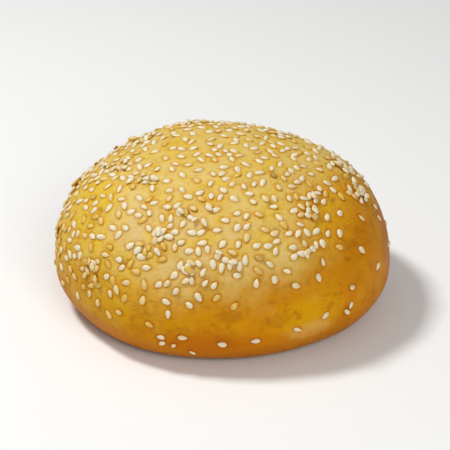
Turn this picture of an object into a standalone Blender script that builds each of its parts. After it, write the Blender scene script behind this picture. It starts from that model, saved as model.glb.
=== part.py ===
"""A round sesame bun: one crust with a flat baked foot, and sesame seeds set in its crown.

Metres, +Z up. The origin is the middle of the flat foot, and the photographed side faces -Y.
"""

import math
import random

import bmesh
import bpy
from mathutils import Matrix, Vector
from mathutils.bvhtree import BVHTree

# Driving sizes of the crust.
BUN_LENGTH = 0.116
BUN_WIDTH = 0.108
CRUST_HEIGHT = 0.057
BELLY_HEIGHT = 0.29 * CRUST_HEIGHT

# How full the curves over and under the belly are: 2 is an ellipse, more is squarer.
CROWN_FULLNESS = 2.27
FOOT_FULLNESS = 2.6
# How far the lower curve would reach under the foot, and the rounding where the foot cuts it off.
FOOT_DROP = 0.50 * BELLY_HEIGHT
FOOT_ROUNDING = 0.004
# The foot is flat to this share of the way out. Past it, four shallow pleats lift its edge.
FOOT_FLAT = 0.45
FOOT_PLEAT = 0.0006

# The bun isn't even: its crown leans, and one end is narrower and rises a little more.
CROWN_LEAN = -0.0024
END_TAPER = -0.030
END_RISE = 0.012
# Broad swells and hollows of the dough: (direction, waves across the bun, height).
SWELLS = [
    ((0.9, 0.3, 0.3), 1.7, 0.00040),
    ((-0.4, 0.8, 0.5), 2.3, 0.00035),
    ((0.2, -0.7, 0.7), 3.1, -0.00020),
    ((-0.8, -0.5, 0.2), 4.1, 0.00012),
]
# Cuts across each side of the cube that the crust is rounded from.
CRUST_CUTS = 13

# Sesame seeds: the back stands over the crust, and the keel is sunk in it.
SEED_LENGTH = 0.0032
SEED_WIDTH = 0.0020
SEED_BACK = 0.00072
SEED_KEEL = 0.00045
SEED_SUNK = 0.00010
SEED_SIZES = (0.88, 1.12)
# Stations from the blunt end to the tip: (share of the length, share of the width).
SEED_STATIONS = [(0.24, 1.0), (0.62, 0.86)]

# The seeded cap leans to one side: where its middle is, how far it spreads, and its ragged
# edge as waves round the bun: (count, height, turn). Towards the edge the seeds thin out, by
# up to the edge gap's share of the spacing, and a few stray past it.
CAP_AZIMUTH = math.radians(-163)
CAP_TILT = math.radians(18.6)
CAP_SPREAD = math.radians(79.5)
CAP_WAVES = [(3, math.radians(1.8), 0.97), (4, math.radians(3.5), -0.38)]
CAP_FADE = math.radians(16)
EDGE_GAP = 0.9
STRAY_SHARE = 0.003
STRAY_REACH = math.radians(25)
LOWEST_SEED = 0.009
SEED_DRAW = 41
SEED_COUNT = 340
SEED_SPACING = 0.0050

CRUST_GOLD = (0.60, 0.30, 0.045, 1.0)
CRUST_ROUGHNESS = 0.55


def clear_scene():
    for obj in list(bpy.data.objects):
        bpy.data.objects.remove(obj)


def smooth_max(a, b, rounding):
    """The larger of a and b, with the corner between them rounded."""
    near = max(rounding - abs(a - b), 0.0) / rounding
    return max(a, b) + near**3 * rounding / 6


def signed_power(value, power):
    return math.copysign(abs(value) ** power, value)


def bun_form(direction):
    """The point of the crust that a direction from the middle of the bun becomes."""
    x, y, z = direction
    around = max(math.hypot(x, y), 1e-9)
    if z >= 0:
        power, reach = 2 / CROWN_FULLNESS, CRUST_HEIGHT - BELLY_HEIGHT
    else:
        power, reach = 2 / FOOT_FULLNESS, BELLY_HEIGHT + FOOT_DROP
    out = around**power / around
    end = x * out
    side = y * out
    height = smooth_max(BELLY_HEIGHT + reach * signed_power(z, power), 0.0, FOOT_ROUNDING)
    past_flat = max(around**power - FOOT_FLAT, 0.0) / (1 - FOOT_FLAT)
    pleat = FOOT_PLEAT * (2 * x * y / around**2 * past_flat) ** 2
    height += pleat * max(1 - height / BELLY_HEIGHT, 0.0)
    share = height / CRUST_HEIGHT
    swell = sum(
        tall * math.sin(math.pi * waves * Vector(way).dot(direction))
        for way, waves, tall in SWELLS
    )
    grow = 1 + swell * 2 / BUN_WIDTH
    return Vector(
        (
            end * grow * BUN_LENGTH / 2 + CROWN_LEAN * share**2,
            side * grow * BUN_WIDTH / 2 * (1 + END_TAPER * end),
            height * grow * (1 + END_RISE * end),
        )
    )


def crust_shape(cuts):
    """A ball made of six square grids, pushed out to the bun's form."""
    shape = bmesh.new()
    bmesh.ops.create_cube(shape, size=2.0)
    bmesh.ops.subdivide_edges(shape, edges=shape.edges[:], cuts=cuts, use_grid_fill=True)
    for vert in shape.verts:
        spread = Vector(math.tan(part * math.pi / 4) for part in vert.co)
        vert.co = bun_form(spread.normalized())
    bmesh.ops.triangulate(shape, faces=shape.faces[:])
    bmesh.ops.recalc_face_normals(shape, faces=shape.faces[:])
    return shape


def seed_shape():
    """A plain sesame seed along X: a flat drop with four long sides, blunt at one end."""
    shape = bmesh.new()
    blunt = shape.verts.new((-SEED_LENGTH / 2, 0, 0))
    tip = shape.verts.new((SEED_LENGTH / 2, 0, 0))
    rings = []
    for along, wide in SEED_STATIONS:
        x = (along - 0.5) * SEED_LENGTH
        side = wide * SEED_WIDTH / 2
        corners = [(-side, 0), (0, wide * SEED_BACK), (side, 0), (0, -wide * SEED_KEEL)]
        rings.append([shape.verts.new((x, y, z)) for y, z in corners])
    for here, after in zip(rings, rings[1:]):
        for k in range(len(here)):
            following = (k + 1) % len(here)
            shape.faces.new((here[k], here[following], after[following], after[k]))
    for k in range(len(rings[0])):
        following = (k + 1) % len(rings[0])
        shape.faces.new((blunt, rings[0][following], rings[0][k]))
        shape.faces.new((tip, rings[-1][k], rings[-1][following]))
    bmesh.ops.triangulate(shape, faces=shape.faces[:])
    bmesh.ops.recalc_face_normals(shape, faces=shape.faces[:])
    return shape


def cap_cover(direction):
    """How likely a seed is to lie in a direction: 1 on the crown, fading out at the cap's edge."""
    middle = Vector(
        (
            math.sin(CAP_TILT) * math.cos(CAP_AZIMUTH),
            math.sin(CAP_TILT) * math.sin(CAP_AZIMUTH),
            math.cos(CAP_TILT),
        )
    )
    azimuth = math.atan2(direction.y, direction.x)
    edge = CAP_SPREAD + sum(tall * math.sin(count * azimuth + turn) for count, tall, turn in CAP_WAVES)
    past = direction.angle(middle) - edge
    inside = min(max(-past / CAP_FADE, 0.0), 1.0)
    stray = STRAY_SHARE if past < STRAY_REACH else 0.0
    return max(inside, stray)


def random_direction(draw):
    z = draw.uniform(-1, 1)
    turn = draw.uniform(-math.pi, math.pi)
    around = math.sqrt(1 - z * z)
    return Vector((around * math.cos(turn), around * math.sin(turn), z))


def seed_directions(draw, count, spacing):
    """Directions of seeds spread over the cap, none nearer to another than the gap there."""
    found = []
    places = []
    while len(found) < count:
        direction = random_direction(draw)
        cover = cap_cover(direction)
        if draw.random() > cover:
            continue
        place = bun_form(direction)
        gap = spacing * (1 + EDGE_GAP * (1 - cover))
        if place.z < LOWEST_SEED or any((place - other).length < gap for other in places):
            continue
        found.append(direction)
        places.append(place)
    return found


def lying_on(normal, spin):
    """A turn that lays a seed flat on a surface, pointing the way that spin says."""
    tip_over = Vector((0, 0, 1)).rotation_difference(normal)
    return tip_over.to_matrix().to_4x4() @ Matrix.Rotation(spin, 4, "Z")


def seeds_on(crust):
    """One mesh object for each fused seed, laid on the crust."""
    surface = BVHTree.FromBMesh(crust)
    middle = Vector((0, 0, BELLY_HEIGHT))
    draw = random.Random(SEED_DRAW)
    folder = bpy.data.collections.new("seeds_to_fuse")
    bpy.context.scene.collection.children.link(folder)
    for number, direction in enumerate(seed_directions(draw, SEED_COUNT, SEED_SPACING)):
        way = (bun_form(direction) - middle).normalized()
        place, normal, _, _ = surface.ray_cast(middle, way)
        turn = lying_on(normal, draw.uniform(0, 2 * math.pi))
        size = draw.uniform(*SEED_SIZES)
        shape = seed_shape()
        where = Matrix.Translation(place - normal * SEED_SUNK)
        shape.transform(where @ turn @ Matrix.Scale(size, 4))
        mesh = bpy.data.meshes.new(f"seed_{number}")
        shape.to_mesh(mesh)
        shape.free()
        folder.objects.link(bpy.data.objects.new(mesh.name, mesh))
    return folder


def crust_material():
    material = bpy.data.materials.new("golden_crust")
    material.use_nodes = True
    shader = material.node_tree.nodes["Principled BSDF"]
    shader.inputs["Base Color"].default_value = CRUST_GOLD
    shader.inputs["Roughness"].default_value = CRUST_ROUGHNESS
    shader.inputs["Metallic"].default_value = 0.0
    return material


def fuse(bun, folder):
    """Joins the seeds to the crust in one union, and removes the loose seeds."""
    union = bun.modifiers.new("seeds", "BOOLEAN")
    union.operation = "UNION"
    union.solver = "EXACT"
    union.operand_type = "COLLECTION"
    union.collection = folder
    with bpy.context.temp_override(object=bun, active_object=bun, selected_objects=[bun]):
        bpy.ops.object.modifier_apply(modifier=union.name)
    for seed in list(folder.objects):
        mesh = seed.data
        bpy.data.objects.remove(seed)
        bpy.data.meshes.remove(mesh)
    bpy.data.collections.remove(folder)


def build():
    clear_scene()
    crust = crust_shape(CRUST_CUTS)
    folder = seeds_on(crust)
    mesh = bpy.data.meshes.new("sesame_bun")
    crust.to_mesh(mesh)
    crust.free()
    bun = bpy.data.objects.new("sesame_bun", mesh)
    bpy.context.scene.collection.objects.link(bun)
    mesh.materials.append(crust_material())
    fuse(bun, folder)
    mesh.shade_smooth()
    mesh.set_sharp_from_angle(angle=math.radians(35))


build()
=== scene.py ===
"""The looks of a round sesame bun: its baked crust and its sesame seeds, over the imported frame.

Metres, +Z up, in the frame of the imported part: the origin is the middle of the flat foot, and the
photographed side faces -Y. The crust and the seeds are grown by Geometry Nodes trees that are
built here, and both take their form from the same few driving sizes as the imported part.
"""

from collections import namedtuple
import math
import random

import bpy
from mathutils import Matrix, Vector


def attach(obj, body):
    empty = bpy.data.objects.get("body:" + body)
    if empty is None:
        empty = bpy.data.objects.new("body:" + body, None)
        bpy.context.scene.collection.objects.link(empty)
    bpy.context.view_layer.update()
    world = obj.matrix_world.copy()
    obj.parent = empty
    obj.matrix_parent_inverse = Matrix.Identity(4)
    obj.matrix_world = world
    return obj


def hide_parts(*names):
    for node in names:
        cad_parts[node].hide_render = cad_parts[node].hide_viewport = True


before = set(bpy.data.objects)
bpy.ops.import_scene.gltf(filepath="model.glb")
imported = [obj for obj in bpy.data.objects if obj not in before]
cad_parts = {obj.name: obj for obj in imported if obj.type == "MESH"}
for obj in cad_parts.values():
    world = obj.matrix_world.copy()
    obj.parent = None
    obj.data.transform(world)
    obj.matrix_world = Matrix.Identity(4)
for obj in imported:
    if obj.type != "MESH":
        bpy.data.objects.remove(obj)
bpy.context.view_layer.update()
NODE = "sesame_bun"

# Driving sizes of the crust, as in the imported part.
BUN_LENGTH = 0.116
BUN_WIDTH = 0.108
CRUST_HEIGHT = 0.057
BELLY_HEIGHT = 0.29 * CRUST_HEIGHT
# How full the curves over and under the belly are: 2 is an ellipse, more is squarer.
CROWN_FULLNESS = 2.27
FOOT_FULLNESS = 2.6
# How far the lower curve would reach under the foot, and the rounding where the foot cuts it off.
FOOT_DROP = 0.50 * BELLY_HEIGHT
FOOT_ROUNDING = 0.004
# The foot is flat to this share of the way out. Past it, four shallow pleats lift its edge.
FOOT_FLAT = 0.45
FOOT_PLEAT = 0.0006
# The crown leans, and one end is narrower and rises a little more.
CROWN_LEAN = -0.0024
END_TAPER = -0.030
END_RISE = 0.012
# Broad swells and hollows of the dough: (direction, waves across the bun, height).
SWELLS = [
    ((0.9, 0.3, 0.3), 1.7, 0.00040),
    ((-0.4, 0.8, 0.5), 2.3, 0.00035),
    ((0.2, -0.7, 0.7), 3.1, -0.00020),
    ((-0.8, -0.5, 0.2), 4.1, 0.00012),
]
# Points along each side of the cube that the crust is rounded from.
CRUST_POINTS = 121

# Relief of the crust, coarse to fine: (name, size of its features, detail, height).
RELIEF = [
    ("Dent Height", 0.024, 1.0, 0.00055),
    ("Dimple Height", 0.0075, 2.0, 0.00028),
    ("Skin Height", 0.0028, 2.0, 0.00011),
]
# The relief sets in between these heights, so that the foot stays flat.
RELIEF_STARTS = 0.0006
RELIEF_FULL = 0.0050

# The seeded cap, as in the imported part. It leans to one side: where its middle is, how far it
# spreads, and its ragged edge as waves round the bun: (count, height, turn). Towards the edge the
# seeds thin out, by up to the edge gap's share of the spacing, and a few stray past it.
CAP_AZIMUTH = math.radians(-163)
CAP_TILT = math.radians(18.6)
CAP_SPREAD = math.radians(79.5)
CAP_WAVES = [(3, math.radians(1.8), 0.97), (4, math.radians(3.5), -0.38)]
CAP_FADE = math.radians(16)
EDGE_GAP = 0.9
STRAY_SHARE = 0.003
STRAY_REACH = math.radians(25)
LOWEST_SEED = 0.009
SEED_DRAW = 41
SEED_COUNT = 340
SEED_SPACING = 0.0050
SEED_SIZES = (0.88, 1.12)

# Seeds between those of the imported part, and the draw of all that only the scene has.
FINISH_DRAW = 7
FILL_COUNT = 234
FILL_SPACING = 0.0028
# Where seeds gather in clumps, in degrees: (azimuth, polar angle, number of seeds).
CLUMPS = [
    (-148, 30, 6),
    (-177, 35, 8),
    (147, 29, 7),
    (-104, 36, 4),
    (-92, 29, 4),
    (-111, 50, 7),
    (-120, 58, 5),
    (-100, 65, 5),
    (-88, 60, 5),
    (-45, 42, 7),
    (-56, 61, 4),
    (-10, 53, 9),
    (-141, 75, 6),
    (165, 61, 10),
    (169, 69, 7),
    (144, 43, 7),
    (110, 30, 7),
    (39, 24, 7),
    (7, 43, 8),
    (80, 55, 8),
    (-178, 78, 7),
]
# How far a clump reaches, its spacing, how high its seeds ride, and how often each is tried.
CLUMP_REACH = 0.0055
CLUMP_SPACING = 0.0021
CLUMP_LIFT = (0.0, 0.00045)
CLUMP_TRIES = 40
# Seeds that have slid down past the cap's edge, in degrees: (azimuth, polar angle).
SLIPPED = [
    (-111, 96),
    (-107, 102),
    (-101, 108),
    (-46, 93),
    (-43, 84),
    (-4, 65),
    (62, 92),
    (140, 98),
]
# Seeds that lie on clumps: how many, how far aside, how much higher, and how far they lean.
PILE_COUNT = 46
PILE_STEP = (0.0009, 0.0017)
PILE_LIFT = (0.00072, 0.00094)
PILE_LEAN = math.radians(18)
SEED_LEAN = math.radians(7)

# Tones of seeds: 0 is ivory, 0.5 is golden and 1 is toasted.
IVORY_TONES = (-0.05, 0.22)
GOLDEN_TONES = (0.25, 0.60)
TOASTED_TONES = (0.75, 0.95)
# Shares of toasted and golden seeds, and of more golden ones low on the left, where the cap reaches
# down; those extra golden seeds are painted shade.
TOASTED_SHARE = 0.010
GOLDEN_SHARE = 0.24
SHADED_SIDE_GOLDEN_SHARE = 0.90

# One seed, how high its middle rides over the crust, and how it narrows towards its tip.
SEED_LENGTH = 0.0032
SEED_WIDTH = 0.0020
SEED_THICKNESS = 0.00118
SEED_RIDE = 0.00016
SEED_TAPER = 0.20
TIP_TAPER = 0.34
SEED_SEGMENTS = 10
SEED_RINGS = 7
# How long, wide and thick a seed may be beside that one.
SEED_SPANS = [(0.92, 1.06), (0.86, 1.10), (0.85, 1.10)]

# Wells that seeds press into the crust. Each follows a line in the middle of its seed, which is
# this share of the seed's length.
LINE_SHARE = 0.5
WELL_REACH = 0.00165
WELL_DEPTH = 0.00014
# Prints of lost seeds, in degrees: (azimuth, polar angle, spin).
PRINTS = [
    (-42, 71, 20),
    (-63, 37, 80),
    (-126, 66, 40),
    (-150, 50, 110),
    (-96, 45, 150),
    (-28, 46, 65),
    (120, 50, 10),
    (50, 48, 130),
    (160, 38, 75),
]
PRINT_REACH = 0.0011
PRINT_DEPTH = 0.00030
# A well or a print is at its deepest up to this share of its reach.
WELL_FLOOR = 0.2
# The step between two directions that shows how the crust slopes between them.
SLOPE_STEP = 0.01

# Colours, as light that each surface gives back.
CROWN_TAN = (0.675, 0.495, 0.145, 1)
CROWN_GOLD = (0.670, 0.435, 0.042, 1)
CROWN_SAND = (0.690, 0.530, 0.195, 1)
CROWN_SUN = (0.705, 0.482, 0.020, 1)
# A paler, greyer tan that is partly painted sheen.
BLOOM_AND_SHEEN_TAN = (0.655, 0.480, 0.205, 1)
EMBER_GOLD = (0.64, 0.31, 0.004, 1)
LIGHT_GOLD = (0.76, 0.54, 0.16, 1)
# The next tint is painted shadow round each seed.
SEED_SHADOW_TINT = (0.88, 0.67, 0.27, 1)
FLANK_GOLD = (0.62, 0.272, 0.001, 1)
FLANK_ORANGE = (0.58, 0.215, 0.001, 1)
FLANK_YELLOW = (0.65, 0.325, 0.001, 1)
FLANK_BROWN = (0.46, 0.125, 0.001, 1)
SCUFF_BROWN = (0.42, 0.135, 0.003, 1)
KISS_PALE = (0.70, 0.41, 0.09, 1)
SPECK_BROWN = (0.40, 0.16, 0.006, 1)
FOOT_BROWN = (0.38, 0.165, 0.018, 1)
FOOT_GOLD = (0.50, 0.265, 0.050, 1)
DARK_BROWN = (0.26, 0.095, 0.012, 1)
SEED_IVORY = (0.74, 0.65, 0.455, 1)
SEED_GOLD = (0.66, 0.42, 0.055, 1)
SEED_TOAST = (0.40, 0.21, 0.06, 1)
FLOOR_PALE = (0.86, 0.86, 0.85, 1)
FLOOR_SHADE = (0.83, 0.83, 0.82, 1)

# Oval patches of colour, in degrees: (azimuth, polar angle, reach along, reach up, share, colour).
CROWN_PATCHES = [
    (-125, 34, 54, 36, 0.75, CROWN_SAND),
    # Partly painted sheen: a pale, greyer bloom over the front of the crown.
    (-104, 52, 62, 36, 0.75, BLOOM_AND_SHEEN_TAN),
    (-164, 66, 44, 36, 0.80, CROWN_GOLD),
    (-162, 46, 22, 16, 0.75, CROWN_SUN),
    (-28, 56, 46, 42, 0.90, EMBER_GOLD),
    (-135, 84, 50, 20, 0.85, EMBER_GOLD),
    (70, 50, 40, 30, 0.60, EMBER_GOLD),
    (150, 62, 40, 26, 0.60, CROWN_SUN),
]
FLANK_PATCHES = [
    (-130, 90, 28, 18, 0.85, FLANK_YELLOW),
    (-62, 89, 24, 14, 0.85, FLANK_YELLOW),
    (-97, 99, 26, 14, 0.80, FLANK_BROWN),
    # Partly painted shade: the right end is browner also for the shade that it lies in.
    (-4, 84, 24, 28, 0.80, FLANK_BROWN),
    (48, 86, 30, 16, 0.80, FLANK_YELLOW),
    (128, 96, 34, 16, 0.80, FLANK_BROWN),
]
# Small marks: scuffed places, and a pale one where the dough stuck as it rose.
FLANK_MARKS = [
    (-88, 85, 8, 5, 0.60, SCUFF_BROWN),
    (-37, 66, 6, 4, 0.60, SCUFF_BROWN),
    (-72, 88, 9, 5, 0.45, SCUFF_BROWN),
    (-118, 93, 10, 5, 0.45, SCUFF_BROWN),
    (-61, 97, 15, 10, 0.78, KISS_PALE),
]
# How far a cloud frays a patch, and where the frayed patch starts and is full.
PATCH_FRAY = 0.5
PATCH_EDGE = (0.1, 0.75)

# Cloudy noise over the crust: (size of its features, detail, roughness).
CLOUDS = {
    "edge": (0.010, 3.0, 0.5),
    "broad": (0.026, 2.0, 0.5),
    "patch": (0.0085, 4.0, 0.6),
    "sunny": (0.0065, 3.0, 0.6),
    "mottle": (0.0026, 4.0, 0.65),
    "felt": (0.0012, 3.0, 0.65),
    "grain": (0.0007, 3.0, 0.6),
}
# Clouds mixed from those, with the share of each, and like them centred on one half.
MIXED_CLOUDS = {
    "veil": {"broad": 1.0, "patch": 1.0},
    "spots": {"patch": 0.55, "mottle": 0.45},
    "ragged": {"patch": 0.6, "mottle": 1.8},
    "toast": {"broad": 0.7, "patch": 0.3},
}
# Washes of colour: (what it follows, where it starts, where it is full, share, colour).
WASHES = {
    "orange flank": ("broad", 0.36, 0.64, 1.0, FLANK_ORANGE),
    # Partly painted shade: the flank darkens to brown towards the bottom.
    "brown and painted shade below": ("low", 0.018, 0.001, 0.80, FLANK_BROWN),
    "brown spots": ("spots", 0.50, 0.60, 0.42, FLANK_BROWN),
    "golden veil": ("veil", 0.42, 0.70, 0.55, CROWN_GOLD),
    "sunny places": ("sunny", 0.50, 0.68, 0.50, CROWN_SUN),
    "mottles": ("mottle", 0.54, 0.76, 0.34, SPECK_BROWN),
    "light felt": ("felt", 0.48, 0.30, 0.30, LIGHT_GOLD),
    "dark felt": ("felt", 0.55, 0.75, 0.30, SPECK_BROWN),
    "grain": ("grain", 0.60, 0.80, 0.12, SPECK_BROWN),
    "toasted foot": ("toast", 0.40, 0.66, 1.0, FOOT_BROWN),
    "foot mottles": ("mottle", 0.52, 0.70, 0.45, FOOT_BROWN),
    "foot specks": ("felt", 0.56, 0.74, 0.40, DARK_BROWN),
}
# The crown's colour: how far a cloud frays its edge, where it starts and is full, and its share.
CROWN_FRAY = 0.5
CROWN_EDGE = (-0.10, 0.46)
CROWN_SHARE = 0.94
# How far a cloud frays the browning below the belly, which is partly baking and partly painted
# shade, and the edge of the base, where that edge starts and is full, and the same for the toasted
# rim of the base, with its share.
LOW_FRAY = 0.012
BASE_FRAY = 0.10
BASE_EDGE = (0.47, 0.60)
TOAST_EDGE = (0.80, 0.60)
TOAST_SHARE = 0.10
# Fine creases that lie level round the bun, where a cloud squeezed in height is near one half,
# and only in places. Then their share of brown, and how much they deepen the bump.
CREASE_SQUEEZE = 2.4
CREASE_CLOUD = (0.0055, 4.0, 0.6, 0.6)
CREASE_WIDTH = 0.050
CREASE_PLACES = (0.46, 0.62)
CREASE_SHARE = 0.15
CREASE_DEPTH = 0.25
# The painted shadow round a seed, a darker and more saturated tint in place of the shade that it
# casts: how far from its line it reaches, where it is full, and how far a cloud frays it. Then the
# share of brown in a print.
HALO_REACH = 0.0020
HALO_FULL = 0.0006
HALO_FRAY = 0.0022
PRINT_SHARE = 0.5
# Roughness of the flank, how much rougher the dry crown is, and how much a cloud varies it.
CRUST_ROUGHNESS = 0.44
CROWN_DRYNESS = 0.16
PATCH_ROUGHNESS = 0.16
# Bumps too fine for the mesh: (strength, height), and the grain's share beside the felt.
SKIN_BUMP = (0.60, 0.0008)
FELT_BUMP = (0.45, 0.0003)
GRAIN_SHARE = 0.5

# The husk of a seed: its clouds, as (size of the features, detail), and one's share of the tone.
HUSK_CLOUD = (0.0012, 3.0)
HUSK_GRAIN = (0.0004, 2.0)
HUSK_CLOUD_SHARE = 0.25
# A seed is browner towards its tip, and low on its sides, partly from browning where it sits in the
# crust and partly as painted shade: (value, start, full, share of the tone).
HUSK_BROWNING_AND_SHADE = [
    ("along", 0.55, 1.0, 0.18),
    # Partly painted shade: the low sides of each seed are browner.
    ("rise", 0.70, -0.20, 0.38),
]
# Tones between which a seed turns golden, and toasted.
GOLDEN_TURN = (0.12, 0.62)
TOASTED_TURN = (0.72, 1.05)
# Roughness of a husk at the least, and how much its cloud adds. Its bump: (strength, height).
HUSK_ROUGHNESS = 0.34
HUSK_ROUGHER = 0.2
HUSK_BUMP = (0.15, 0.0001)

# What each finish is all over.
CRUST_FINISH = {
    "Specular IOR Level": 0.05,
    "Subsurface Weight": 0.08,
    "Subsurface Radius": (1.0, 0.45, 0.12),
    "Subsurface Scale": 0.0016,
}
SEED_FINISH = {
    "Specular IOR Level": 0.45,
    "Subsurface Weight": 0.25,
    "Subsurface Radius": (1.0, 0.75, 0.40),
    "Subsurface Scale": 0.0006,
}
FLOOR_FINISH = {"Roughness": 0.8}

# The floor: its side, how far under the foot it lies, and its faint cloud.
FLOOR_SIZE = 6
FLOOR_GAP = 0.0002
FLOOR_CLOUD = (0.15, 2.0)
FLOOR_CLOUD_SHARE = 0.1
# Light from all round, and soft square lamps: (name, place, side, watts).
WORLD_LIGHT = 0.30
LAMPS = [
    ("key", (-0.36, 0.08, 0.71), 0.14, 4.3),
    ("front_fill", (0.28, -0.78, 0.52), 0.5, 3.9),
]
LAMP_AIM = (0, 0, 0.02)
# The camera looks at the middle of the bun from the front.
CAMERA_ELEVATION = math.radians(28)
CAMERA_DISTANCE = 0.65
CAMERA_LENS = 150
CAMERA_AIM = (0, 0, 0.0265)

# One seed: its direction from the bun's middle, its place, and how it is laid, sized and toned.
Seed = namedtuple("Seed", "direction place spin size lean lift tone")


class Wire:
    """A value running through a node tree. Sums and products of wires are Math nodes."""

    def __init__(self, tree, socket):
        self.tree = tree
        self.socket = socket

    def of(self, output):
        """Another output of the node that this wire leaves."""
        return Wire(self.tree, self.socket.node.outputs[output])

    def math(self, operation, *others):
        made = self.tree.nodes.new("ShaderNodeMath")
        made.operation = operation
        for socket, value in zip(made.inputs, (self, *others)):
            feed(socket, value)
        return Wire(self.tree, made.outputs[0])

    def vector_math(self, operation, other=None, output=0):
        made = self.tree.nodes.new("ShaderNodeVectorMath")
        made.operation = operation
        feed(made.inputs[0], self)
        if other is not None:
            feed(made.inputs["Scale" if operation == "SCALE" else 1], other)
        return Wire(self.tree, made.outputs[output])

    def __add__(self, other):
        return self.math("ADD", other)

    def __sub__(self, other):
        return self.math("SUBTRACT", other)

    def __mul__(self, other):
        return self.math("MULTIPLY", other)

    def __truediv__(self, other):
        return self.math("DIVIDE", other)

    def __pow__(self, other):
        return self.math("POWER", other)

    __radd__ = __add__
    __rmul__ = __mul__

    def __rsub__(self, other):
        return (self * -1) + other


def feed(socket, value):
    """Gives a socket a wire or a plain value."""
    if isinstance(value, Wire):
        value.tree.links.new(value.socket, socket)
    else:
        socket.default_value = value


def node(tree, kind, inputs=None, output=0, **settings):
    """Adds a node, feeds its inputs, and gives the wire that leaves it."""
    made = tree.nodes.new(kind)
    for name, value in settings.items():
        setattr(made, name, value)
    for name, value in (inputs or {}).items():
        feed(made.inputs[name], value)
    return Wire(tree, made.outputs[output])


def ramp(wire, start, full):
    """0 before start and 1 past full, with a smooth climb between them."""
    inputs = {"Value": wire, "From Min": start, "From Max": full}
    return node(wire.tree, "ShaderNodeMapRange", inputs, interpolation_type="SMOOTHSTEP")


def noise(place, size, detail=2.0, roughness=0.5, distortion=0.0):
    """Cloudy noise from 0 to 1, with features of about that size in metres."""
    inputs = {
        "Vector": place,
        "Scale": 1 / size,
        "Detail": detail,
        "Roughness": roughness,
        "Distortion": distortion,
    }
    return node(place.tree, "ShaderNodeTexNoise", inputs)


def blend(factor, first, second):
    """Mixes two colours."""
    made = factor.tree.nodes.new("ShaderNodeMix")
    made.data_type = "RGBA"
    feed(made.inputs[0], factor)
    feed(made.inputs[6], first)
    feed(made.inputs[7], second)
    return Wire(factor.tree, made.outputs[2])


def multiply_tint(factor, colour, tint):
    """Multiplies a colour by a tint, as far as the factor says."""
    multiplied = blend(factor, colour, tint)
    multiplied.socket.node.blend_type = "MULTIPLY"
    return multiplied


def vector(x, y, z):
    """Joins three values, of which the first is a wire, into a vector."""
    return node(x.tree, "ShaderNodeCombineXYZ", {0: x, 1: y, 2: z})


def parts(wire):
    """The three values of a vector."""
    x = node(wire.tree, "ShaderNodeSeparateXYZ", {0: wire})
    return x, x.of(1), x.of(2)


def direction_of(azimuth, polar):
    """The unit vector at an azimuth from +X and a polar angle from +Z."""
    return Vector(
        (
            math.sin(polar) * math.cos(azimuth),
            math.sin(polar) * math.sin(azimuth),
            math.cos(polar),
        )
    )


def aimed(azimuth, polar):
    """direction_of in degrees."""
    return direction_of(math.radians(azimuth), math.radians(polar))


# The kind of input that each kind of size needs.
SOCKETS = {
    int: "NodeSocketInt",
    float: "NodeSocketFloat",
    bpy.types.Object: "NodeSocketObject",
    bpy.types.Material: "NodeSocketMaterial",
}


def geometry_tree(name, sizes):
    """A Geometry Nodes tree with a named input for each size, and the wires that carry them."""
    tree = bpy.data.node_groups.new(name, "GeometryNodeTree")
    tree.interface.new_socket("Geometry", in_out="INPUT", socket_type="NodeSocketGeometry")
    tree.interface.new_socket("Geometry", in_out="OUTPUT", socket_type="NodeSocketGeometry")
    for label, value in sizes.items():
        tree.interface.new_socket(label, in_out="INPUT", socket_type=SOCKETS[type(value)])
    entry = tree.nodes.new("NodeGroupInput")
    wires = {label: Wire(tree, entry.outputs[label]) for label in ("Geometry", *sizes)}
    return tree, wires


def leave(tree, geometry, material):
    """Ends a tree: instances become mesh, shaded smooth, with the material on all of it."""
    plain = node(tree, "GeometryNodeRealizeInstances", {"Geometry": geometry})
    smooth = node(tree, "GeometryNodeSetShadeSmooth", {"Geometry": plain})
    painted = node(tree, "GeometryNodeSetMaterial", {"Geometry": smooth, "Material": material})
    feed(tree.nodes.new("NodeGroupOutput").inputs["Geometry"], painted)


def grow(name, tree, sizes, start=None):
    """Runs a tree on a new object, and keeps what it makes as a plain mesh."""
    piece = bpy.data.objects.new(name, start or bpy.data.meshes.new(name))
    bpy.context.scene.collection.objects.link(piece)
    modifier = piece.modifiers.new(name, "NODES")
    modifier.node_group = tree
    for item in tree.interface.items_tree:
        if item.in_out == "INPUT" and item.name in sizes:
            modifier[item.identifier] = sizes[item.name]
    graph = bpy.context.evaluated_depsgraph_get()
    made = bpy.data.meshes.new_from_object(
        piece.evaluated_get(graph), preserve_all_data_layers=True, depsgraph=graph
    )
    piece.modifiers.clear()
    piece.data = made
    return piece


def smooth_max(a, b, rounding):
    """The larger of a and b, with the corner between them rounded."""
    near = max(rounding - abs(a - b), 0.0) / rounding
    return max(a, b) + near**3 * rounding / 6


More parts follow.
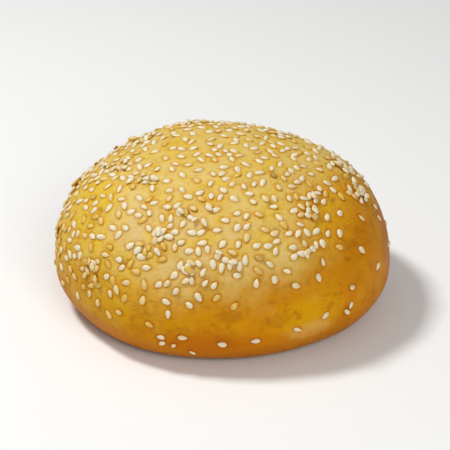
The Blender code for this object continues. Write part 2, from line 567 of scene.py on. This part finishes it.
def bun_form(direction):
    """The point of the crust that a direction from the middle of the bun becomes."""
    x, y, z = direction
    around = max(math.hypot(x, y), 1e-9)
    if z >= 0:
        power, reach = 2 / CROWN_FULLNESS, CRUST_HEIGHT - BELLY_HEIGHT
    else:
        power, reach = 2 / FOOT_FULLNESS, BELLY_HEIGHT + FOOT_DROP
    out = around**power / around
    end = x * out
    side = y * out
    lift = math.copysign(abs(z) ** power, z)
    height = smooth_max(BELLY_HEIGHT + reach * lift, 0.0, FOOT_ROUNDING)
    past_flat = max(around**power - FOOT_FLAT, 0.0) / (1 - FOOT_FLAT)
    pleat = FOOT_PLEAT * (2 * x * y / around**2 * past_flat) ** 2
    height += pleat * max(1 - height / BELLY_HEIGHT, 0.0)
    share = height / CRUST_HEIGHT
    swell = sum(
        tall * math.sin(math.pi * waves * Vector(way).dot(direction))
        for way, waves, tall in SWELLS
    )
    grow_by = 1 + swell * 2 / BUN_WIDTH
    return Vector(
        (
            end * grow_by * BUN_LENGTH / 2 + CROWN_LEAN * share**2,
            side * grow_by * BUN_WIDTH / 2 * (1 + END_TAPER * end),
            height * grow_by * (1 + END_RISE * end),
        )
    )


def cap_cover(direction):
    """How likely a seed is to lie in a direction: 1 on the crown, fading out at the cap's edge."""
    azimuth = math.atan2(direction.y, direction.x)
    waves = sum(tall * math.sin(count * azimuth + turn) for count, tall, turn in CAP_WAVES)
    past = direction.angle(direction_of(CAP_AZIMUTH, CAP_TILT)) - (CAP_SPREAD + waves)
    inside = min(max(-past / CAP_FADE, 0.0), 1.0)
    stray = STRAY_SHARE if past < STRAY_REACH else 0.0
    return max(inside, stray)


def random_direction(draw):
    """A direction drawn evenly from all round."""
    z = draw.uniform(-1, 1)
    turn = draw.uniform(-math.pi, math.pi)
    around = math.sqrt(1 - z * z)
    return Vector((around * math.cos(turn), around * math.sin(turn), z))


def spread_seeds(draw, count, spacing, found):
    """Adds directions and places of seeds over the cap, none nearer to another than the spacing."""
    wanted = len(found) + count
    while len(found) < wanted:
        direction = random_direction(draw)
        cover = cap_cover(direction)
        if draw.random() > cover:
            continue
        place = bun_form(direction)
        gap = spacing * (1 + EDGE_GAP * (1 - cover))
        if place.z < LOWEST_SEED or any((place - other).length < gap for _, other in found):
            continue
        found.append((direction, place))


def clump_seeds(draw, found):
    """Adds the seeds of each clump, side by side wherever there is room."""
    for azimuth, polar, count in CLUMPS:
        middle = aimed(azimuth, polar)
        wanted = len(found) + count
        for _ in range(CLUMP_TRIES * count):
            step = random_direction(draw) * draw.random() * CLUMP_REACH * 2 / BUN_WIDTH
            direction = (middle + step).normalized()
            place = bun_form(direction)
            if all((place - other).length > CLUMP_SPACING for _, other in found):
                found.append((direction, place))
            if len(found) == wanted:
                break


def drawn_turn(draw):
    """A spin and a size."""
    return draw.uniform(0, 2 * math.pi), draw.uniform(*SEED_SIZES)


def drawn_lean(draw, usual):
    """A small lean about each of two axes."""
    return draw.gauss(0, usual), draw.gauss(0, usual), 0.0


def drawn_tone(draw, place):
    """A tone from ivory to toasted. Seeds low on the left are more often golden, as painted shade.
    """
    left = min(max(-place.x * 2 / BUN_LENGTH, 0), 1)
    # Painted shade: more golden seeds low on the left side.
    golden = GOLDEN_SHARE + SHADED_SIDE_GOLDEN_SHARE * left * (1 - place.z / CRUST_HEIGHT)
    pick = draw.random()
    if pick < TOASTED_SHARE:
        return draw.uniform(*TOASTED_TONES)
    if pick < golden:
        return draw.uniform(*GOLDEN_TONES)
    return draw.uniform(*IVORY_TONES)


def scatter_seeds():
    """Every seed of the bun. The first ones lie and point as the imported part's do."""
    draw = random.Random(SEED_DRAW)
    found = []
    spread_seeds(draw, SEED_COUNT, SEED_SPACING, found)
    packed_turns = [drawn_turn(draw) for _ in found]
    finish = random.Random(FINISH_DRAW)
    clump_seeds(finish, found)
    clumped = found[SEED_COUNT:]
    spread_seeds(finish, FILL_COUNT, FILL_SPACING, found)
    for azimuth, polar in SLIPPED:
        direction = aimed(azimuth, polar)
        found.append((direction, bun_form(direction)))
    seeds = []
    for k, (direction, place) in enumerate(found):
        turn = drawn_turn(finish)
        if k < SEED_COUNT:
            turn = packed_turns[k]
        lean = drawn_lean(finish, SEED_LEAN)
        in_clump = SEED_COUNT <= k < SEED_COUNT + len(clumped)
        lift = finish.uniform(*CLUMP_LIFT) if in_clump else 0.0
        seeds.append(Seed(direction, place, *turn, lean, lift, drawn_tone(finish, place)))
    for _ in range(PILE_COUNT):
        direction, place = finish.choice(clumped)
        aside = random_direction(finish).cross(direction).normalized() * finish.uniform(*PILE_STEP)
        turn = drawn_turn(finish)
        lean = drawn_lean(finish, PILE_LEAN)
        lift = finish.uniform(*PILE_LIFT)
        tone = drawn_tone(finish, place)
        seeds.append(Seed(direction, place + aside, *turn, lean, lift, tone))
    return seeds


def seed_line(direction, spin, size):
    """The two ends of the line that a seed, or its print, follows on the crust."""
    place = bun_form(direction)
    aside = direction.orthogonal().normalized()
    above = direction.cross(aside)
    first = bun_form((direction + aside * SLOPE_STEP).normalized()) - place
    second = bun_form((direction + above * SLOPE_STEP).normalized()) - place
    normal = first.cross(second).normalized()
    turn = Vector((0, 0, 1)).rotation_difference(normal)
    half_line = SEED_LENGTH * size * LINE_SHARE / 2
    along = turn @ Vector((math.cos(spin), math.sin(spin), 0)) * half_line
    return place - along, place + along


def line_mesh(name, lines):
    """A mesh of loose edges."""
    mesh = bpy.data.meshes.new(name)
    points = [end for line in lines for end in line]
    mesh.from_pydata(points, [(2 * k, 2 * k + 1) for k in range(len(lines))], [])
    return mesh


def point_mesh(name, places, values):
    """A mesh of loose points, each with its named values."""
    mesh = bpy.data.meshes.new(name)
    mesh.from_pydata(places, [], [])
    for label, column in values.items():
        kind = "FLOAT_VECTOR" if isinstance(column[0], tuple) else "FLOAT"
        attribute = mesh.attributes.new(label, kind, "POINT")
        flat = [part for value in column for part in value] if kind == "FLOAT_VECTOR" else column
        attribute.data.foreach_set("vector" if kind == "FLOAT_VECTOR" else "value", flat)
    return mesh


def helper(name, mesh):
    """An object that only a tree reads."""
    obj = bpy.data.objects.new(name, mesh)
    bpy.context.scene.collection.objects.link(obj)
    obj.hide_render = True
    return obj


def form_wires(way, sizes):
    """bun_form as nodes: the point of the crust for each direction."""
    x, y, z = parts(way)
    around = (x * x + y * y).math("SQRT").math("MAXIMUM", 1e-6)
    above = z.math("GREATER_THAN", 0.0)
    fullness = above * (sizes["Crown Fullness"] - sizes["Foot Fullness"]) + sizes["Foot Fullness"]
    power = fullness**-1 * 2
    over = sizes["Height"] - sizes["Belly Height"]
    under = sizes["Belly Height"] + sizes["Foot Drop"]
    reach = above * (over - under) + under
    out = around**power / around
    end = x * out
    side = y * out
    lift = z.math("ABSOLUTE") ** power * z.math("SIGN")
    height = (sizes["Belly Height"] + reach * lift).math("SMOOTH_MAX", 0.0, sizes["Foot Rounding"])
    past_flat = (around**power - sizes["Foot Flat"]).math("MAXIMUM", 0.0) / (1 - sizes["Foot Flat"])
    across = x * y * 2 / (around * around) * past_flat
    pleat = across * across * sizes["Foot Pleat"]
    height = height + pleat * (1 - height / sizes["Belly Height"]).math("MAXIMUM", 0.0)
    share = height / sizes["Height"]
    swell = sum(
        (way.vector_math("DOT_PRODUCT", direction, "Value") * (math.pi * waves)).math("SINE") * tall
        for direction, waves, tall in SWELLS
    )
    grow_by = swell * 2 / sizes["Width"] + 1
    return vector(
        end * grow_by * sizes["Length"] / 2 + sizes["Crown Lean"] * share * share,
        side * grow_by * sizes["Width"] / 2 * (end * sizes["End Taper"] + 1),
        height * grow_by * (end * sizes["End Rise"] + 1),
    )


def cap_wires(way):
    """How far inside the seeded cap's edge each direction lies, in radians."""
    x, y, _ = parts(way)
    azimuth = y.math("ARCTAN2", x)
    waves = sum((azimuth * count + turn).math("SINE") * tall for count, tall, turn in CAP_WAVES)
    middle = direction_of(CAP_AZIMUTH, CAP_TILT)
    off_middle = way.vector_math("DOT_PRODUCT", middle, "Value").math("ARCCOSINE")
    return waves + CAP_SPREAD - off_middle


def mark_wires(way, azimuth, polar, along, up):
    """A soft oval mark on the crust: 1 in its middle and 0 past its reach. Angles in degrees."""
    middle = aimed(azimuth, polar)
    east = aimed(azimuth + 90, 90)
    across = way.vector_math("DOT_PRODUCT", east, "Value") / math.sin(math.radians(along))
    rise = way.vector_math("DOT_PRODUCT", middle.cross(east), "Value") / math.sin(math.radians(up))
    facing = way.vector_math("DOT_PRODUCT", middle, "Value").math("GREATER_THAN", 0.0)
    return ramp((across * across + rise * rise).math("SQRT"), 1.0, 0.0) * facing


def distance_to(tree, lines):
    """How far each point is from the nearest edge of an object."""
    edges = node(tree, "GeometryNodeObjectInfo", {"Object": lines}, "Geometry")
    proximity = "GeometryNodeProximity"
    return node(tree, proximity, {"Geometry": edges}, "Distance", target_element="EDGES")


def keep_value(geometry, name, wire, kind="FLOAT"):
    """Writes a value on each point of a mesh, under a name that a material can read."""
    inputs = {"Geometry": geometry, "Name": name, "Value": wire}
    store = "GeometryNodeStoreNamedAttribute"
    return node(geometry.tree, store, inputs, data_type=kind, domain="POINT")


def named(tree, name, kind="FLOAT"):
    """Reads a named value back."""
    return node(tree, "GeometryNodeInputNamedAttribute", {"Name": name}, data_type=kind)


def rounded_cube(tree, wires):
    """A cube of six grids rounded to the bun's form. It keeps each point's direction."""
    points = wires["Points Each Way"]
    cube = node(
        tree,
        "GeometryNodeMeshCube",
        {"Size": (2, 2, 2), "Vertices X": points, "Vertices Y": points, "Vertices Z": points},
    )
    corner = [part * (math.pi / 4) for part in parts(node(tree, "GeometryNodeInputPosition"))]
    way = vector(*[part.math("TANGENT") for part in corner]).vector_math("NORMALIZE")
    kept = keep_value(cube, "way", way, "FLOAT_VECTOR")
    form = form_wires(named(tree, "way", "FLOAT_VECTOR"), wires)
    return node(tree, "GeometryNodeSetPosition", {"Geometry": kept, "Position": form})


def crust_tree(sizes):
    """The bun's form with the relief of baked dough, a well for each seed and prints."""
    tree, wires = geometry_tree("baked_crust", sizes)
    round_form = rounded_cube(tree, wires)
    place = node(tree, "GeometryNodeInputPosition")
    clear_of_foot = ramp(parts(place)[2], RELIEF_STARTS, RELIEF_FULL)
    gap = distance_to(tree, wires["Seed Lines"])
    well = ramp(gap, wires["Well Reach"], wires["Well Reach"] * WELL_FLOOR)
    print_gap = distance_to(tree, wires["Print Lines"])
    printed = ramp(print_gap, wires["Print Reach"], wires["Print Reach"] * WELL_FLOOR)
    pressed = well * wires["Well Depth"] + printed * wires["Print Depth"]
    relief = sum(
        (noise(place, size, detail) - 0.5) * wires[name] for name, size, detail, _ in RELIEF
    )
    rise = (relief - pressed) * clear_of_foot
    step = node(tree, "GeometryNodeInputNormal").vector_math("SCALE", rise)
    kept = keep_value(round_form, "seed_gap", gap)
    kept = keep_value(kept, "print", printed)
    shaped = node(tree, "GeometryNodeSetPosition", {"Geometry": kept, "Offset": step})
    leave(tree, shaped, wires["Material"])
    return tree


def seed_wires(tree, sizes):
    """One seed along X: a flattened ball, blunt at one end and pointed at the other."""
    inputs = {"Segments": sizes["Segments"], "Rings": sizes["Rings"], "Radius": 1.0}
    ball = node(tree, "GeometryNodeMeshUVSphere", inputs)
    x, y, z = parts(node(tree, "GeometryNodeInputPosition"))
    tip = z.math("MAXIMUM", 0.0)
    taper = 1 - z * sizes["Seed Taper"] - tip * tip * sizes["Tip Taper"]
    shape = vector(
        z * sizes["Seed Length"] / 2,
        y * taper * sizes["Seed Width"] / 2,
        x * taper * sizes["Seed Thickness"] / -2,
    )
    kept = keep_value(ball, "along", z)
    kept = keep_value(kept, "rise", x * -1)
    return node(tree, "GeometryNodeSetPosition", {"Geometry": kept, "Position": shape})


def seeds_tree(sizes):
    """Seeds laid on the crust at each point that the tree is given."""
    tree, wires = geometry_tree("sesame_seeds", sizes)
    crust = node(tree, "GeometryNodeObjectInfo", {"Object": wires["Crust"]}, "Geometry")
    on_crust = node(
        tree, "GeometryNodeProximity", {"Geometry": crust}, "Position", target_element="FACES"
    )
    normal = node(
        tree,
        "GeometryNodeSampleNearestSurface",
        {"Mesh": crust, "Value": node(tree, "GeometryNodeInputNormal")},
        data_type="FLOAT_VECTOR",
    )
    up = named(tree, "lift") + wires["Seed Ride"]
    rest = on_crust.vector_math("ADD", normal.vector_math("SCALE", up))
    turn = node(tree, "FunctionNodeAlignRotationToVector", {"Vector": normal}, axis="Z")
    for name in ("spin", "lean"):
        step = node(tree, "FunctionNodeEulerToRotation", {0: named(tree, name, "FLOAT_VECTOR")})
        inputs = {"Rotation": turn, "Rotate By": step}
        turn = node(tree, "FunctionNodeRotateRotation", inputs, rotation_space="LOCAL")
    laid = node(tree, "GeometryNodeSetPosition", {"Geometry": wires["Geometry"], "Position": rest})
    scattered = node(
        tree,
        "GeometryNodeInstanceOnPoints",
        {
            "Points": laid,
            "Instance": seed_wires(tree, wires),
            "Rotation": turn,
            "Scale": named(tree, "proportions", "FLOAT_VECTOR"),
        },
    )
    leave(tree, scattered, wires["Material"])
    return tree


def new_material(name, finish):
    """A material with its shader, set to the plain values of a finish, and Object coordinates."""
    material = bpy.data.materials.new(name)
    material.use_nodes = True
    tree = material.node_tree
    shader = tree.nodes["Principled BSDF"]
    for label, value in finish.items():
        shader.inputs[label].default_value = value
    return material, shader, node(tree, "ShaderNodeTexCoord", output="Object")


def marked(place, name, output="Fac"):
    """A value that a tree wrote on the mesh."""
    return node(place.tree, "ShaderNodeAttribute", output=output, attribute_name=name)


def bump(height, strength, distance, normal=None):
    """Relief that only the shader shows, on top of another bump if there is one."""
    inputs = {"Height": height, "Strength": strength, "Distance": distance}
    if normal is not None:
        inputs["Normal"] = normal
    return node(height.tree, "ShaderNodeBump", inputs)


def patched(colour, way, cloud, patches):
    """Lays oval patches over a colour, their edges frayed by a cloud."""
    for azimuth, polar, along, up, share, tint in patches:
        mark = mark_wires(way, azimuth, polar, along, up) + (cloud - 0.5) * PATCH_FRAY
        colour = blend(ramp(mark, *PATCH_EDGE) * share, colour, tint)
    return colour


def washed(colour, fields, name, where=None):
    """Lays a wash over a colour, and thins it out where `where` is low."""
    cloud, start, full, share, tint = WASHES[name]
    dense = ramp(fields[cloud], start, full)
    if where is not None:
        dense = dense * where
    return blend(dense * share, colour, tint)


def crust_fields(place, way):
    """What the crust's colours follow: clouds, mixed clouds, the crown, creases and the foot."""
    fields = {name: noise(place, *cloud) for name, cloud in CLOUDS.items()}
    for name, shares in MIXED_CLOUDS.items():
        fields[name] = sum((fields[part] - 0.5) * share for part, share in shares.items()) + 0.5
    inside = cap_wires(way) + (fields["edge"] - 0.5) * CROWN_FRAY
    fields["crown"] = ramp(inside, *CROWN_EDGE)
    patchy = fields["patch"] - 0.5
    x, y, height = parts(place)
    folds = noise(vector(x, y, height * CREASE_SQUEEZE), *CREASE_CLOUD)
    creased = ramp((folds - 0.5).math("ABSOLUTE"), CREASE_WIDTH, 0.0)
    fields["crease"] = creased * ramp(fields["patch"], *CREASE_PLACES)
    fields["low"] = height + patchy * LOW_FRAY
    under = parts(way)[2] * -1
    fields["toast"] = fields["toast"] + ramp(under, *TOAST_EDGE) * TOAST_SHARE
    fields["base"] = ramp(under + patchy * BASE_FRAY, *BASE_EDGE)
    return fields


def flank_colour(way, fields):
    """A golden flank with yellow, orange and brown places, scuffs and a pale mark, browner low down
    partly as painted shade.
    """
    colour = washed(FLANK_GOLD, fields, "orange flank")
    colour = patched(colour, way, fields["patch"], FLANK_PATCHES)
    colour = patched(colour, way, fields["ragged"], FLANK_MARKS)
    # Partly painted shade: browner towards the bottom than baking alone makes it.
    colour = washed(colour, fields, "brown and painted shade below")
    return washed(colour, fields, "brown spots")


def crown_colour(way, fields):
    """A dry tan crown with sandy, sunny and ember places, and a pale bloom that is partly painted
    sheen.
    """
    colour = patched(CROWN_TAN, way, fields["patch"], CROWN_PATCHES)
    colour = washed(colour, fields, "golden veil")
    return washed(colour, fields, "sunny places")


def base_colour(fields):
    """The flat base, golden and brown, and browner round its rim."""
    colour = washed(FOOT_GOLD, fields, "toasted foot")
    colour = washed(colour, fields, "foot mottles")
    return washed(colour, fields, "foot specks")


def crust_colour(place, way, fields):
    """Crown over flank, with specks and felt, creases, a painted shadow round each seed, and the
    base.
    """
    crown = fields["crown"]
    colour = blend(crown * CROWN_SHARE, flank_colour(way, fields), crown_colour(way, fields))
    colour = washed(colour, fields, "mottles")
    colour = washed(colour, fields, "light felt", crown)
    colour = washed(colour, fields, "dark felt")
    colour = blend(fields["crease"] * CREASE_SHARE, colour, SPECK_BROWN)
    # Painted shadow: the crust round each seed is darkened and saturated where the seed's shade
    # falls.
    gap = marked(place, "seed_gap") + (fields["mottle"] - 0.5) * HALO_FRAY
    colour = multiply_tint(ramp(gap, HALO_REACH, HALO_FULL), colour, SEED_SHADOW_TINT)
    colour = blend(marked(place, "print") * PRINT_SHARE, colour, DARK_BROWN)
    colour = washed(colour, fields, "grain")
    return blend(fields["base"], colour, base_colour(fields))


def crust_material():
    """Baked crust: satin on the flank and drier on the crown, with a mottled, felted skin."""
    material, shader, place = new_material("baked_crust", CRUST_FINISH)
    way = marked(place, "way", "Vector")
    fields = crust_fields(place, way)
    feed(shader.inputs["Base Color"], crust_colour(place, way, fields))
    dryness = fields["crown"] * CROWN_DRYNESS + (fields["patch"] - 0.5) * PATCH_ROUGHNESS
    feed(shader.inputs["Roughness"], dryness + CRUST_ROUGHNESS)
    skin = bump(fields["mottle"] - fields["crease"] * CREASE_DEPTH, *SKIN_BUMP)
    felt = fields["felt"] + fields["grain"] * GRAIN_SHARE
    feed(shader.inputs["Normal"], bump(felt, *FELT_BUMP, skin))
    return material


def seed_material():
    """Hulled sesame: ivory, some of it golden or toasted, each seed a little cloudy, browner at its
    tip, and low on its sides partly as painted shade.
    """
    material, shader, place = new_material("sesame", SEED_FINISH)
    cloud = noise(place, *HUSK_CLOUD)
    tone = marked(place, "tone") + (cloud - 0.5) * HUSK_CLOUD_SHARE
    for name, start, full, share in HUSK_BROWNING_AND_SHADE:
        tone = tone + ramp(marked(place, name), start, full) * share
    colour = blend(ramp(tone, *GOLDEN_TURN), SEED_IVORY, SEED_GOLD)
    colour = blend(ramp(tone, *TOASTED_TURN), colour, SEED_TOAST)
    feed(shader.inputs["Base Color"], colour)
    feed(shader.inputs["Roughness"], cloud * HUSK_ROUGHER + HUSK_ROUGHNESS)
    feed(shader.inputs["Normal"], bump(noise(place, *HUSK_GRAIN), *HUSK_BUMP))
    return material


def floor_material():
    """A dull pale floor."""
    material, shader, place = new_material("pale_floor", FLOOR_FINISH)
    shade = noise(place, *FLOOR_CLOUD) * FLOOR_CLOUD_SHARE
    feed(shader.inputs["Base Color"], blend(shade, FLOOR_PALE, FLOOR_SHADE))
    return material


def grow_crust(seeds):
    """The crust, with a well under each seed that lies on it and prints of lost seeds."""
    lying = [seed for seed in seeds if seed.lift < PILE_LIFT[0]]
    wells = [seed_line(seed.direction, seed.spin, seed.size) for seed in lying]
    prints = [seed_line(aimed(*place), math.radians(spin), 1) for *place, spin in PRINTS]
    seed_lines = helper("seed_lines", line_mesh("seed_lines", wells))
    print_lines = helper("print_lines", line_mesh("print_lines", prints))
    sizes = {
        "Length": BUN_LENGTH,
        "Width": BUN_WIDTH,
        "Height": CRUST_HEIGHT,
        "Belly Height": BELLY_HEIGHT,
        "Crown Fullness": CROWN_FULLNESS,
        "Foot Fullness": FOOT_FULLNESS,
        "Foot Drop": FOOT_DROP,
        "Foot Rounding": FOOT_ROUNDING,
        "Foot Flat": FOOT_FLAT,
        "Foot Pleat": FOOT_PLEAT,
        "Crown Lean": CROWN_LEAN,
        "End Taper": END_TAPER,
        "End Rise": END_RISE,
        "Points Each Way": CRUST_POINTS,
        "Well Reach": WELL_REACH,
        "Well Depth": WELL_DEPTH,
        "Print Reach": PRINT_REACH,
        "Print Depth": PRINT_DEPTH,
        "Seed Lines": seed_lines,
        "Print Lines": print_lines,
        "Material": crust_material(),
    }
    sizes.update({name: height for name, _, _, height in RELIEF})
    crust = grow("crust", crust_tree(sizes), sizes)
    for obj in (seed_lines, print_lines):
        bpy.data.objects.remove(obj)
    return crust


def grow_seeds(crust, seeds):
    """All the seeds as one piece, each laid on the crust."""
    draw = random.Random(SEED_DRAW)
    values = {
        "spin": [(0.0, 0.0, seed.spin) for seed in seeds],
        "lean": [seed.lean for seed in seeds],
        "lift": [seed.lift for seed in seeds],
        "tone": [seed.tone for seed in seeds],
        "proportions": [
            tuple(seed.size * draw.uniform(*span) for span in SEED_SPANS) for seed in seeds
        ],
    }
    sizes = {
        "Seed Length": SEED_LENGTH,
        "Seed Width": SEED_WIDTH,
        "Seed Thickness": SEED_THICKNESS,
        "Seed Ride": SEED_RIDE,
        "Seed Taper": SEED_TAPER,
        "Tip Taper": TIP_TAPER,
        "Segments": SEED_SEGMENTS,
        "Rings": SEED_RINGS,
        "Crust": crust,
        "Material": seed_material(),
    }
    points = point_mesh("seed_points", [seed.place for seed in seeds], values)
    return grow("sesame_seeds", seeds_tree(sizes), sizes, points)


def build_bun():
    """The crust and its seeds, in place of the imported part's one solid."""
    seeds = scatter_seeds()
    crust = grow_crust(seeds)
    return crust, grow_seeds(crust, seeds)


def soft_box(name, place, side, power):
    """A soft square lamp that points at the bun."""
    lamp = bpy.data.lights.new(name, "AREA")
    lamp.shape = "SQUARE"
    lamp.size = side
    lamp.energy = power
    obj = bpy.data.objects.new(name, lamp)
    bpy.context.scene.collection.objects.link(obj)
    obj.location = place
    obj.rotation_euler = (Vector(LAMP_AIM) - Vector(place)).to_track_quat("-Z", "Y").to_euler()


def place_camera(scene):
    """The camera, in front of the bun and looking down on it at the photographed angle."""
    camera = bpy.data.objects.new("camera", bpy.data.cameras.new("camera"))
    scene.collection.objects.link(camera)
    camera.data.lens = CAMERA_LENS
    back = Vector((0, -math.cos(CAMERA_ELEVATION), math.sin(CAMERA_ELEVATION)))
    camera.location = Vector(CAMERA_AIM) + back * CAMERA_DISTANCE
    camera.rotation_euler = (-back).to_track_quat("-Z", "Y").to_euler()
    scene.camera = camera


def build_stage():
    """A plain pale floor, soft studio light and the camera."""
    scene = bpy.context.scene
    bpy.ops.mesh.primitive_plane_add(size=FLOOR_SIZE, location=(0, 0, -FLOOR_GAP))
    floor = bpy.context.object
    floor.name = "floor"
    floor.data.materials.append(floor_material())
    world = bpy.data.worlds.new("studio")
    world.use_nodes = True
    world.node_tree.nodes["Background"].inputs["Color"].default_value = (1, 1, 1, 1)
    world.node_tree.nodes["Background"].inputs["Strength"].default_value = WORLD_LIGHT
    scene.world = world
    for lamp in LAMPS:
        soft_box(*lamp)
    place_camera(scene)
    scene.view_settings.view_transform = "Standard"


build_stage()
crust, seeds = build_bun()
for piece, finish in ((crust, "crust"), (seeds, "sesame")):
    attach(piece, "root")
    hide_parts(NODE)
